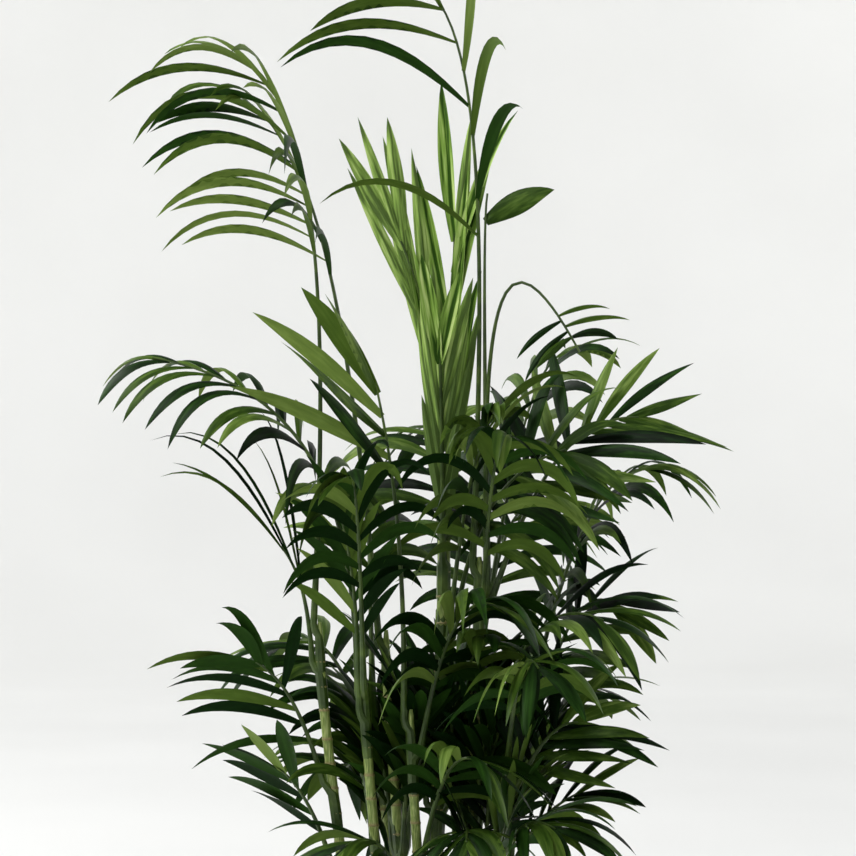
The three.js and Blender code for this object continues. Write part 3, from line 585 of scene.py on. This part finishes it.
# In millimetres and degrees. A rib leaves its cane at the share `at` of the cane's length, towards the
# compass angle `azimuth`. It rises towards the knee and bends over to the tip: each is [how far out from the
# cane, how high above the table]. Its first share, `bare`, has no leaflets, and `pairs` of them follow:
# `leaf` is [longest length, width], and `spread` is how far they stand off the rib at [the first pair, the
# last pair]. `roll` turns the blade about the rib, and `sag` bows the leaflets down. Where they are given,
# `lift` raises both rows, `turn` stands in for LEAF_TURN, and `lost` are the numbers of leaflets that have
# dropped off, counted from the cane.
FRONDS = {
    "tall_left": dict(
        cane="far_left", at=0.97, azimuth=196, knee=[-16, 764], tip=[60, 810], bare=0.64,
        pairs=7, leaf=[130, 10.5], spread=[54, 24], roll=29, lift=-45, sag=1.3, turn=[0.8, 0.3],
    ),
    "tall_inner_left": dict(
        cane="inner_left", at=0.95, azimuth=176, knee=[36, 730], tip=[102, 780], bare=0.66,
        pairs=6, leaf=[122, 10.5], spread=[50, 24], roll=49, lift=-45, sag=1.2, turn=[0.8, 0.3],
    ),
    "raised_left": dict(
        cane="front", at=0.93, azimuth=192, knee=[4, 470], tip=[27, 571], bare=0.72,
        pairs=3, leaf=[130, 15], spread=[50, 28], roll=18, lift=-64, sag=0.15,
    ),
    "hanging_left": dict(
        cane="left", at=0.92, azimuth=176, knee=[6, 560], tip=[158, 588], bare=0.42,
        pairs=11, leaf=[88, 11.5], spread=[72, 20], roll=-20, lift=6, sag=1.9,
    ),
    "thin_left": dict(
        cane="far_left", at=0.86, azimuth=176, knee=[10, 424], tip=[30, 448], bare=0.5,
        pairs=3, leaf=[164, 4.5], spread=[14, 6], roll=0, lift=8, sag=0.95,
    ),
    "fan_left": dict(
        cane="far_left", at=0.5, azimuth=205, knee=[30, 346], tip=[62, 364], bare=0.3,
        pairs=7, leaf=[94, 11], spread=[66, 22], roll=56, sag=0.7, lost=[0, 2, 4, 6],
    ),
    "low_left": dict(
        cane="far_left", at=0.26, azimuth=196, knee=[24, 262], tip=[46, 282], bare=0.3,
        pairs=5, leaf=[84, 16], spread=[58, 28], roll=26, sag=0.3, lost=[0, 2, 4],
    ),
    "tall_middle": dict(
        cane="inner_right", at=0.96, azimuth=188, knee=[-12, 815], tip=[38, 862], bare=0.52,
        pairs=5, leaf=[160, 11], spread=[46, 44], roll=46, lift=-44, sag=1.3, turn=[0.7, 0.3], lost=[0, 3],
    ),
    "young_left": dict(
        cane="middle", at=0.97, azimuth=196, knee=[2, 600], tip=[34, 676], bare=0.12,
        pairs=5, leaf=[150, 11], spread=[11, 3], roll=80, sag=0,
    ),
    "young_right": dict(
        cane="middle", at=0.97, azimuth=346, knee=[4, 600], tip=[8, 684], bare=0.12,
        pairs=5, leaf=[156, 12], spread=[7, 2], roll=80, sag=0.5,
    ),
    "young_middle": dict(
        cane="middle", at=0.84, azimuth=262, knee=[6, 500], tip=[22, 590], bare=0.1,
        pairs=5, leaf=[112, 12], spread=[15, 6], roll=0, sag=0.1,
    ),
    "thin_right": dict(
        cane="inner_right", at=0.9, azimuth=336, knee=[-4, 738], tip=[80, 592], bare=0.9,
        pairs=3, leaf=[46, 6], spread=[94, 84], roll=66, sag=0.9,
    ),
    "broad_right": dict(
        cane="inner_right", at=0.93, azimuth=8, knee=[2, 688], tip=[6, 711], bare=0.9,
        pairs=2, leaf=[60, 21], spread=[58, 50], roll=84, sag=0.5, turn=[0, 0], lost=[0, 2, 3],
    ),
    "high_right": dict(
        cane="inner_right", at=0.86, azimuth=4, knee=[54, 546], tip=[120, 544], bare=0.44,
        pairs=9, leaf=[92, 12.5], spread=[76, 24], roll=54, sag=0.2,
    ),
    "spreading_right": dict(
        cane="right", at=0.95, azimuth=358, knee=[50, 512], tip=[106, 506], bare=0.4,
        pairs=9, leaf=[90, 10], spread=[68, 22], roll=14, sag=1.6,
    ),
    "back_high_right": dict(
        cane="back_right", at=0.96, azimuth=30, knee=[46, 590], tip=[88, 596], bare=0.5,
        pairs=9, leaf=[82, 10.5], spread=[70, 26], roll=0, sag=1.4,
    ),
    "middle_right": dict(
        cane="right", at=0.8, azimuth=350, knee=[42, 424], tip=[76, 404], bare=0.32,
        pairs=8, leaf=[84, 12], spread=[74, 26], roll=40, sag=0.5,
    ),
    "fan_right": dict(
        cane="front_right", at=0.86, azimuth=8, knee=[34, 322], tip=[56, 320], bare=0.3,
        pairs=7, leaf=[80, 12], spread=[66, 28], roll=54, sag=0.4,
    ),
    "low_right": dict(
        cane="right", at=0.34, azimuth=346, knee=[26, 246], tip=[58, 262], bare=0.34,
        pairs=5, leaf=[80, 10], spread=[62, 26], roll=30, sag=0.6,
    ),
    "leaning_right": dict(
        cane="middle", at=0.66, azimuth=342, knee=[26, 500], tip=[96, 520], bare=0.4,
        pairs=8, leaf=[92, 12], spread=[86, 30], roll=64, sag=1.05,
    ),
    "arching_right": dict(
        cane="inner_right", at=0.5, azimuth=330, knee=[50, 420], tip=[108, 396], bare=0.36,
        pairs=9, leaf=[92, 11], spread=[72, 24], roll=24, sag=0.9,
    ),
    "upright_middle": dict(
        cane="middle", at=0.66, azimuth=304, knee=[32, 516], tip=[70, 548], bare=0.36,
        pairs=9, leaf=[90, 12], spread=[66, 26], roll=28, sag=1.1,
    ),
    "upright_left": dict(
        cane="left", at=0.86, azimuth=222, knee=[8, 432], tip=[26, 476], bare=0.36,
        pairs=7, leaf=[68, 11], spread=[40, 18], roll=34, lift=-14, sag=0.5,
    ),
    "front_high": dict(
        cane="inner_right", at=0.72, azimuth=286, knee=[30, 540], tip=[86, 530], bare=0.42,
        pairs=9, leaf=[84, 12], spread=[60, 26], roll=-20, sag=1.9,
    ),
    "front_middle": dict(
        cane="front", at=0.82, azimuth=336, knee=[30, 424], tip=[70, 406], bare=0.36,
        pairs=10, leaf=[94, 13], spread=[66, 26], roll=-18, sag=1.7,
    ),
    "front_left": dict(
        cane="left", at=0.94, azimuth=262, knee=[30, 500], tip=[66, 502], bare=0.42,
        pairs=8, leaf=[76, 11.5], spread=[58, 20], roll=34, sag=1.5,
    ),
    "front_right": dict(
        cane="front_right", at=0.96, azimuth=288, knee=[30, 388], tip=[74, 366], bare=0.4,
        pairs=8, leaf=[84, 12], spread=[64, 26], roll=18, sag=1.5,
    ),
    "front_low": dict(
        cane="front", at=0.42, azimuth=314, knee=[28, 312], tip=[72, 294], bare=0.36,
        pairs=8, leaf=[84, 12], spread=[66, 26], roll=-18, sag=1.4,
    ),
    "front_low_left": dict(
        cane="left", at=0.46, azimuth=108, knee=[30, 296], tip=[72, 278], bare=0.36,
        pairs=8, leaf=[84, 12], spread=[66, 26], roll=24, sag=1.4,
    ),
    "front_low_right": dict(
        cane="front_right", at=0.4, azimuth=316, knee=[28, 262], tip=[66, 248], bare=0.36,
        pairs=7, leaf=[80, 12], spread=[66, 26], roll=16, sag=1.2,
    ),
    "low_middle": dict(
        cane="inner_right", at=0.2, azimuth=268, knee=[34, 258], tip=[76, 238], bare=0.34,
        pairs=7, leaf=[84, 12], spread=[66, 26], roll=20, sag=1.3,
    ),
    "low_inner_left": dict(
        cane="inner_left", at=0.4, azimuth=128, knee=[30, 330], tip=[66, 336], bare=0.36,
        pairs=7, leaf=[82, 12], spread=[60, 26], roll=20, sag=1.2,
    ),
    "low_inner_right": dict(
        cane="middle", at=0.36, azimuth=301, knee=[32, 372], tip=[76, 380], bare=0.36,
        pairs=7, leaf=[84, 12], spread=[66, 26], roll=-16, sag=1.4,
    ),
    "low_front_left": dict(
        cane="front", at=0.18, azimuth=208, knee=[28, 248], tip=[62, 232], bare=0.36,
        pairs=6, leaf=[78, 12], spread=[66, 28], roll=-14, sag=1.1,
    ),
    "back_right": dict(
        cane="back_right", at=0.84, azimuth=58, knee=[42, 490], tip=[108, 470], bare=0.4,
        pairs=9, leaf=[96, 13], spread=[70, 26], roll=14, sag=1.1,
    ),
    "back_middle": dict(
        cane="middle", at=0.74, azimuth=96, knee=[56, 560], tip=[124, 534], bare=0.4,
        pairs=9, leaf=[100, 13], spread=[72, 26], roll=-12, sag=1.1,
    ),
    "back_left": dict(
        cane="back_left", at=0.96, azimuth=96, knee=[38, 500], tip=[100, 482], bare=0.42,
        pairs=8, leaf=[74, 13], spread=[60, 26], roll=18, sag=1.1,
    ),
    "back_low_left": dict(
        cane="back_left", at=0.68, azimuth=144, knee=[40, 388], tip=[94, 366], bare=0.38,
        pairs=7, leaf=[90, 13], spread=[68, 26], roll=-14, sag=1.1,
    ),
    "back_low": dict(
        cane="back_right", at=0.44, azimuth=88, knee=[36, 320], tip=[94, 298], bare=0.36,
        pairs=7, leaf=[90, 13], spread=[68, 26], roll=16, sag=1.0,
    ),
    "back_low_right": dict(
        cane="right", at=0.6, azimuth=34, knee=[34, 352], tip=[76, 336], bare=0.36,
        pairs=7, leaf=[74, 13], spread=[68, 26], roll=0, sag=0.9,
    ),
}

RIB_ROOT_RADIUS = 2.3
RIB_TIP_RADIUS = 0.8
RIB_STEPS = 9  # straight lengths of the frame's rod
KNEE_HUG = 0.72  # how closely the rib follows its knee
CURVE_DIVISIONS = 200
LAST_LEAFLET = 0.96  # share of the rib where the last pair stands
LAST_PAIR = {"length": 0.72, "width": 1.2}  # of the full size
STAGGER = 0.45  # how far one row is behind the other, in pairs
LEAF_LINE_STEPS = 12
LEAF_BOW = 1.5  # a leaflet with more stays straight for longer
LEAF_TURN = [0, 0.35]  # how far a blade turns to face up, at its root and at its tip
LEAF_JITTER = {"angle": 7, "length": 0.1, "sag": 0.3}
FIRST_SEED = 101
# Where a leaflet would touch another piece, these changes are tried in turn: [degrees of spread, degrees of
# lift, share of its length].
LEAF_TRIES = [
    [0, 0, 1], [0, 9, 1], [0, -9, 1], [9, 0, 1], [-9, 0, 1], [9, 9, 1], [-9, 9, 1], [9, -9, 1], [-9, -9, 1],
    [0, 18, 1], [0, -18, 1], [16, 9, 1], [-16, 9, 1], [0, 0, 0.75], [0, 14, 0.75], [0, -14, 0.75], [0, 27, 1],
    [0, -27, 1], [12, 0, 0.55], [-12, 0, 0.55],
]
UP = Vector((0, 0, 1))


class Dice:
    """Whole-number dice, the same on every machine: roll() gives -1 to 1."""

    def __init__(self, seed):
        self.state = seed

    def roll(self):
        self.state = self.state * 16807 % 2147483647
        return self.state / 2147483647 * 2 - 1


class Rib:
    """A frond's middle curve, measured along its length, with the corners that the frame's rod has."""

    def __init__(self, frond):
        cane = CANES[frond["cane"]]
        self.frond = frond
        azimuth = radians(frond["azimuth"])
        self.out = Vector((cos(azimuth), sin(azimuth), 0))
        self.side = Vector((-sin(azimuth), cos(azimuth), 0))
        hold = cane_point(cane, frond["at"])
        root = hold + self.out * (cane_radius(cane, frond["at"]) + RIB_ROOT_RADIUS + CANE_GAP)
        knee, tip = (
            Vector((*(hold + self.out * reach).xy, height)) for reach, height in (frond["knee"], frond["tip"])
        )
        self.corners = [root, root.lerp(knee, KNEE_HUG), tip.lerp(knee, KNEE_HUG), tip]
        ticks = [self.curve(i / CURVE_DIVISIONS) for i in range(CURVE_DIVISIONS + 1)]
        steps = [0.0] + [(b - a).length for a, b in zip(ticks, ticks[1:])]
        self.lengths = np.cumsum(steps)
        self.bends = [self.at(i / RIB_STEPS) for i in range(RIB_STEPS + 1)]

    def curve(self, t):
        a, b, c, d = self.corners
        s = 1 - t
        return a * s**3 + b * 3 * s * s * t + c * 3 * s * t * t + d * t**3

    def turn_of(self, share):
        return float(np.interp(
            share * self.lengths[-1], self.lengths, np.linspace(0, 1, CURVE_DIVISIONS + 1)
        ))

    def at(self, share):
        """The place at a share of the rib's length."""
        return self.curve(self.turn_of(share))

    def rod(self, share):
        """The same place on the frame's rod, which has corners."""
        i = min(floor(share * RIB_STEPS), RIB_STEPS - 1)
        return self.bends[i].lerp(self.bends[i + 1], share * RIB_STEPS - i)

    def directions(self, share):
        """The rib's direction, the blade's side to the left of it, and the way its upper face looks."""
        t = self.turn_of(share)
        forward = (self.curve(min(1, t + 0.0001)) - self.curve(max(0, t - 0.0001))).normalized()
        face = forward.cross(self.side)
        roll = radians(self.frond["roll"])
        return forward, self.side * cos(roll) + face * sin(roll), face * cos(roll) - self.side * sin(roll)


def leaflets_of(frond, seed):
    """One frond's leaflets: for each, its row, its share along the rib, and its own size and angles."""
    dice = Dice(seed)
    leaflets = []
    for pair in range(frond["pairs"]):
        for row in (1, -1):
            last = pair == frond["pairs"] - 1
            place = min(1, (pair + (STAGGER if row < 0 else 0)) / (frond["pairs"] - 1))
            fullness = 0.74 + 0.26 * sin(pi * (0.15 + 0.7 * place))
            leaflets.append({
                "row": row,
                "share": between(frond["bare"], LAST_LEAFLET, place),
                "spread": between(*frond["spread"], place) + LEAF_JITTER["angle"] * dice.roll(),
                "lift": frond.get("lift", 0) + LEAF_JITTER["angle"] * dice.roll(),
                "length": frond["leaf"][0] * (LAST_PAIR["length"] if last else fullness)
                * (1 + LEAF_JITTER["length"] * dice.roll()),
                "width": frond["leaf"][1] * (LAST_PAIR["width"] if last else fullness),
                "sag": frond["sag"] * (1 + LEAF_JITTER["sag"] * dice.roll()),
            })
    return [leaflet for number, leaflet in enumerate(leaflets) if number not in frond.get("lost", [])]


def blade_width(u):
    """The blade's width along its length, as a share of the widest."""
    return 0.3 * (1 - u) ** 6 + sin(pi * u**1.1) ** 0.8 * (1 - 0.25 * u)


def leaflet_line(rib, leaflet, change):
    """A leaflet's middle line: at each step its place, its heading and the way its upper face looks."""
    widen, raising, shorten = change
    forward, side, face = rib.directions(leaflet["share"])
    spread, lift = radians(leaflet["spread"] + widen), radians(leaflet["lift"] + raising)
    start = forward * cos(spread) + side * (leaflet["row"] * sin(spread) * cos(lift))
    start += face * (sin(spread) * sin(lift))
    facing = forward.cross(start).normalized() * leaflet["row"]
    step = leaflet["length"] * shorten / LEAF_LINE_STEPS
    place = rib.rod(leaflet["share"])
    line = []
    for i in range(LEAF_LINE_STEPS + 1):
        u, middle = i / LEAF_LINE_STEPS, (i + 0.5) / LEAF_LINE_STEPS
        heading = (start - UP * (leaflet["sag"] * u**LEAF_BOW)).normalized()
        turn = between(*rib.frond.get("turn", LEAF_TURN), u)
        normal = facing * (1 - turn) + UP * turn
        normal = (normal - heading * normal.dot(heading)).normalized()
        line.append([place.copy(), heading, normal])
        place += (start - UP * (leaflet["sag"] * middle**LEAF_BOW)).normalized() * step
    return line


# A palm leaflet: a leathery skin with a soft gloss from its wax, a little mottled, with veins that run along
# it.
# It is yellower where it is young, and paler and duller underneath. Its greens carry painted shade: darkest
# where the crown shades it, darker towards the rib, and on a blade that is opening, darker in its fold and
# where it is packed among others.
VEIN_SPACING = 1.1  # millimetres, as the blade's own map is
STREAK_WIDTH = 3.2
STREAK_LENGTH = 60
STREAK_CHANGE = 60.0  # how fast the streaks change across the clump, so that no two blades are alike
# Painted shade: how far up from the rib a blade is darkened, and how far from the midrib an opening one is
# darkened in its fold, in millimetres; and the heights between which an opening blade goes from full painted
# shade to none.
ROOT_SHADE_LENGTH = 55.0
FOLD_SHADE_WIDTH = 2.6
FULL_SHADE_HEIGHT, NO_SHADE_HEIGHT = 480 * MM, 600 * MM
# Each is three greens. The first four are the leaf's green painted from deep shade to full light; the last is
# the yellower green of a blade that is still opening.
LEAF_SHADES = {
    "leaf_in_deep_shade": ["#041003", "#091d05", "#112c0a"],
    "leaf_in_shade": ["#0f2207", "#1a340c", "#294915"],
    "leaf_half_lit": ["#29400f", "#3d561b", "#566f2a"],
    "leaf_lit": ["#3f591a", "#5b732e", "#799145"],
    "leaf_opening": ["#35551a", "#88ab4c", "#cade8e"],
}
OPENING_SHADE = len(LEAF_SHADES) - 1
blade_skins = []
for name, (dark, middle, light) in LEAF_SHADES.items():
    for under in (False, True):
        blade = new_material(name + ("_underside" if under else ""))
        in_clump = add_node(
            blade, "ShaderNodeSeparateXYZ", {0: add_node(blade, "ShaderNodeTexCoord").outputs["Object"]}
        )
        blade_map = add_node(blade, "ShaderNodeUVMap", uv_map="blade_map").outputs["UV"]
        on_blade = add_node(blade, "ShaderNodeSeparateXYZ", {0: blade_map})
        off_midrib = add_node(blade, "ShaderNodeMath", {0: on_blade.outputs["X"]}, operation="ABSOLUTE")
        stretched = add_node(
            blade, "ShaderNodeMapping",
            {"Vector": blade_map, "Scale": (1 / STREAK_WIDTH, 1 / STREAK_LENGTH, 1)},
        )
        change = add_node(
            blade, "ShaderNodeMath", {0: in_clump.outputs["X"], 1: STREAK_CHANGE}, operation="MULTIPLY"
        )
        greenness = add_node(
            blade, "ShaderNodeTexNoise",
            {
                "Vector": stretched.outputs["Vector"], "W": change.outputs["Value"], "Scale": 1.0,
                "Detail": 3.0,
            },
            noise_dimensions="4D",
        ).outputs["Fac"]
        # Painted shade: darker towards the rib, or on an opening blade, low in the crown and along its fold.
        painted_shades = [(on_blade.outputs["Y"], 0.0, ROOT_SHADE_LENGTH, -0.14)]
        if name == "leaf_opening":
            painted_shades = [
                (in_clump.outputs["Z"], FULL_SHADE_HEIGHT, NO_SHADE_HEIGHT, -0.3),
                (off_midrib.outputs["Value"], 0.0, FOLD_SHADE_WIDTH, -0.17),
            ]
        for measure, start, end, depth in painted_shades:
            painted_darkening = add_node(
                blade, "ShaderNodeMapRange",
                {"Value": measure, "From Min": start, "From Max": end, "To Min": depth, "To Max": 0.0},
            )
            greenness = add_node(
                blade, "ShaderNodeMath", {0: greenness, 1: painted_darkening.outputs["Result"]}, operation="ADD"
            ).outputs["Value"]
        green = add_node(
            blade, "ShaderNodeValToRGB", {"Fac": greenness},
            stops=[(0.36, dark), (0.5, middle), (0.64, light)],
        ).outputs["Color"]
        if under:
            paleness = 0.12 if name == "leaf_opening" else 0.6
            green = add_node(
                blade, "ShaderNodeMix", {"Factor": paleness, 6: green, 7: linear(light)}, data_type="RGBA"
            ).outputs[2]
        veins = add_node(
            blade, "ShaderNodeTexWave", {"Vector": blade_map, "Scale": WAVE_PERIOD / VEIN_SPACING},
            bands_direction="X",
        )
        vein_bump = add_node(
            blade, "ShaderNodeBump",
            {"Height": veins.outputs["Fac"], "Strength": 0.22, "Distance": 0.15 * MM},
        )
        leaf_surface = add_node(
            blade, "ShaderNodeBsdfPrincipled",
            {
                "Base Color": green, "Roughness": 0.55 if under else 0.42,
                "Specular IOR Level": 0.05 if under else 0.08, "Normal": vein_bump.outputs["Normal"],
            },
        )
        add_node(blade, "ShaderNodeOutputMaterial", {"Surface": leaf_surface.outputs["BSDF"]})
        blade_skins.append(blade)

LEAF_THICKNESS = 0.42
LEAF_FOLD = 0.3  # how far the margins hang below the midrib, as a share of half the width
YOUNG_FOLD = -0.75  # a blade that is still opening is folded upwards instead
NARROW_FOLD = 1.1  # and a thread-like one is nearly shut
NARROW_BLADE = 8  # millimetres
LEAF_TWIST = 32  # degrees, from root to tip
LEAF_CURVE = 0.055  # how far a blade sweeps to one side, as a share of its length
LEAF_DROOP = 0.07  # how far a tip hangs under the frame's, as a share of its length
YOUNG_PLAY = 0.25  # the share of these three that is left to a blade that is still opening
TIP_MATCH = 0.5  # millimetres between a leaflet's tip and the frame's, if it is the same one


def blade_points(rib, leaflet, line, fold, play, quirks):
    """The points of one blade, four round each step and one at the tip, with their places on its own map.
    `play` is how freely it twists, sweeps and droops, and `quirks` are its own rolls of the dice."""
    root_shift = rib.at(leaflet["share"]) - rib.rod(leaflet["share"])
    length = (line[-1][0] - line[0][0]).length
    points, places = [], []
    for i, (place, heading, normal) in enumerate(line):
        u = i / LEAF_LINE_STEPS
        across = heading.cross(normal)
        turn = Matrix.Rotation(radians(LEAF_TWIST) * play * quirks[0] * u, 3, heading)
        across, normal = turn @ across, turn @ normal
        middle = place + root_shift * (1 - u)
        middle += across * (LEAF_CURVE * play * quirks[1] * length * u * (1 - u) * 2)
        middle -= UP * (LEAF_DROOP * play * (0.5 + 0.5 * quirks[3]) * length * u**3)
        half = leaflet["width"] / 2 * blade_width(u)
        thick = LEAF_THICKNESS * (1 - 0.5 * u) / 2
        drop = normal * (-fold * half * (1 - 0.35 * u))
        if i < LEAF_LINE_STEPS:
            points += [middle - across * half + drop, middle + normal * thick]
            points += [middle + across * half + drop, middle - normal * thick]
            places += [(-half, u * length), (0, u * length), (half, u * length), (0, u * length)]
        else:
            points.append(middle)
            places.append((0, length))
    return points, places


# The faces of one blade by its points' numbers: the upper two strips, the lower two, the root and the tip.
UPPER, LOWER = [], []
for ring in range(0, (LEAF_LINE_STEPS - 1) * 4, 4):
    UPPER += [(ring, ring + 1, ring + 5, ring + 4), (ring + 1, ring + 2, ring + 6, ring + 5)]
    LOWER += [(ring + 2, ring + 3, ring + 7, ring + 6), (ring + 3, ring, ring + 4, ring + 7)]
last = (LEAF_LINE_STEPS - 1) * 4
UPPER += [(last, last + 1, last + 4), (last + 1, last + 2, last + 4)]
LOWER += [(last + 2, last + 3, last + 4), (last + 3, last, last + 4), (3, 2, 1, 0)]

# The rib and the sheath that it widens into: firm, smooth and green, with a waxy gloss, mottled a little.
RIB_PATCH = 16.67 * MM
rib_skin = mottled_material(
    "frond_rib_skin", RIB_PATCH, [(0.3, "#24380f"), (0.5, "#3a501c"), (0.7, "#566c2c")],
    {"Roughness": 0.4, "IOR": 1.45},
)

SHEATH_DROP = 30  # millimetres that the sheath reaches down its cane
SHEATH_SKIN = 0.7  # and how thick it is
SHEATH_LEAN = 3
SHEATH_MOUTH_RADIUS = 3.3
# The sheath from its foot up: the shares of its drop, its lean outwards and its skin at each point.
SHEATH_PATH = [(1, 0, 0.2), (0.93, 0.02, 0.6), (0.6, 0.05, 1), (0.3, 0.12, 1), (0.08, 0.3, 0.9)]
RIB_POINTS = 40
RIB_FOOT_SWELL = 1.25


def rib_line(rib):
    """The rib's middle line with its radius at each point, from the foot of its sheath to its tip."""
    cane = CANES[rib.frond["cane"]]
    height = cane["height"] - SOIL_LEVEL / MM
    line = []
    for drop, lean, skin in SHEATH_PATH:
        share = max(0.0, rib.frond["at"] - SHEATH_DROP * drop / height)
        middle = cane_point(cane, share) + rib.out * (lean * SHEATH_LEAN)
        line.append((middle, cane_radius(cane, share) + SHEATH_SKIN * skin))
    line.append((rib.at(0).lerp(line[-1][0], 0.4) + UP * 2, SHEATH_MOUTH_RADIUS))
    length = rib.lengths[-1]
    shares = [i / RIB_POINTS for i in range(1, RIB_POINTS + 1)]
    for share in [6 / length, 14 / length] + [share for share in shares if share > 22 / length]:
        foot = between(RIB_FOOT_SWELL, 1, min(1, share * 4))
        line.append((rib.at(share), between(RIB_ROOT_RADIUS, RIB_TIP_RADIUS, share) * foot))
    return line


# Painted light and shade: leaflets low in the crown and near its middle are dealt darker greens, those high
# up or far out lighter ones. How high the crown shades itself, and how far up or out a leaflet is one shade
# lighter, in millimetres.
SHADED_HEIGHT = 480
SHADE_RISE = 400
SHADE_REACH = 100
CLUMP_RADIUS = 150  # beyond it nothing gets lighter
SHADE_SPREAD = 1.35  # how far chance moves a leaflet's shade
QUIRK_SEED = 6910


def leaflet_shade(tip, quirk):
    """The number of a leaflet's painted shade: the darker greens are for those low down and near the middle.
    """
    outward = (min(hypot(tip.x, tip.y), CLUMP_RADIUS) - 90) / SHADE_REACH
    mostly = 1.0 + max(0, tip.z - SHADED_HEIGHT) / SHADE_RISE + outward
    return min(OPENING_SHADE - 1, max(0, round(mostly + SHADE_SPREAD * quirk)))


def grow_frond(name, rib, seed, may_stand, node=None, slot="leaf"):
    """A frond's leaflets as one piece and its rib as another. `may_stand` says whether a leaflet can have the
    line it is given. Gives the lines of all its leaflets."""
    dice = Dice(seed + QUIRK_SEED)
    points, places, faces, shades, grown = [], [], [], [], []
    for leaflet in leaflets_of(rib.frond, seed):
        quirks = [dice.roll() for _ in range(4)]
        tries = (leaflet_line(rib, leaflet, change) for change in LEAF_TRIES)
        line = next((line for line in tries if may_stand(line)), None)
        if line is None:
            continue
        grown.append(line)
        fold, play, shade = LEAF_FOLD, 1, leaflet_shade(line[-1][0], quirks[2])
        if slot == "young_leaf":
            fold, play, shade = YOUNG_FOLD, YOUNG_PLAY, OPENING_SHADE
        elif rib.frond["leaf"][1] < NARROW_BLADE:
            fold = NARROW_FOLD
        start = len(points)
        new_points, new_places = blade_points(rib, leaflet, line, fold, play, quirks)
        points += [point * MM for point in new_points]
        places += new_places
        for strip, under in ((UPPER, 0), (LOWER, 1)):
            faces += [[corner + start for corner in face] for face in strip]
            shades += [2 * shade + under] * len(strip)
    blades = make_mesh(f"leaflets_{name}", points, faces, blade_skins, shades, places)

    curve = bpy.data.curves.new(f"rib_{name}", "CURVE")
    curve.dimensions = "3D"
    curve.bevel_depth = MM
    curve.bevel_resolution = 2
    curve.use_fill_caps = True
    spline = curve.splines.new("POLY")
    path = rib_line(rib)
    spline.points.add(len(path) - 1)
    for point, (place, radius) in zip(spline.points, path):
        point.co = (*(place * MM), 1)
        point.radius = radius
    stalk = bpy.data.objects.new(f"rib_{name}", curve)
    bpy.context.collection.objects.link(stalk)
    for piece, finish in ((blades, slot), (stalk, "cane")):
        bpy.ops.object.select_all(action="DESELECT")
        piece.select_set(True)
        bpy.context.view_layer.objects.active = piece
        if piece == stalk:
            bpy.ops.object.convert(target="MESH")
            stalk.data.materials.clear()
            stalk.data.materials.append(rib_skin)
        bpy.ops.object.shade_smooth_by_angle(angle=radians(35))
        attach(piece, "root")
    if node:
        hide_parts(node)
    return grown


def points_tree(points):
    tree = KDTree(len(points))
    for i, point in enumerate(points):
        tree.insert(point, i)
    tree.balance()
    return tree


# Each leaflet takes the first change that puts its tip where the frame's solid has one.
grown_lines = []
for index, (name, frond) in enumerate(FRONDS.items()):
    node = f"frond_{name}"
    tips = points_tree([vertex.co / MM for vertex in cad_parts[node].data.vertices])
    grown_lines += grow_frond(
        name, Rib(frond), FIRST_SEED + index, lambda line: tips.find(line[-1][0])[2] < TIP_MATCH,
        node=node, slot="young_leaf" if name.startswith("young") else "leaf",
    )

# The clump's inner fronds: short ones that fill it with leaf in the shade. They leave towards every side but
# the left front, and none is on the three canes there, which show between the leaves.
INNER_FRONDS = 32
INNER_SEED = 501
INNER_TURN = 137.5  # degrees from one to the next, as they grow
INNER_SECTOR = 260  # degrees that they leave towards, from the first
INNER_FIRST = -70
INNER_GAP = 2.4  # millimetres that their leaflets keep from all others
CROWDED_STEPS = 3  # a leaflet's steps next to the rib, which may be closer
inner_canes = [name for name in CANES if name not in ("far_left", "left", "front")]
for index in range(INNER_FRONDS):
    dice = Dice(INNER_SEED + index)
    cane_name = inner_canes[index % len(inner_canes)]
    share = 0.6 + 0.3 * dice.roll()
    height = cane_point(CANES[cane_name], share).z
    inner = Rib(dict(
        cane=cane_name, at=share, azimuth=INNER_TURN * index % INNER_SECTOR + INNER_FIRST,
        knee=[12, height + 66], tip=[32 + 12 * dice.roll(), height + 100 + 14 * dice.roll()], bare=0.34,
        pairs=7, leaf=[74, 10.5], spread=[44, 16], roll=24 * dice.roll(), sag=0.5,
    ))
    taken = points_tree([place for line in grown_lines for place, _, _ in line])
    grown_lines += grow_frond(
        f"inner_{index + 1:02d}", inner, INNER_SEED + index,
        lambda line: min(taken.find(place)[2] for place, _, _ in line[CROWDED_STEPS:]) > INNER_GAP,
    )
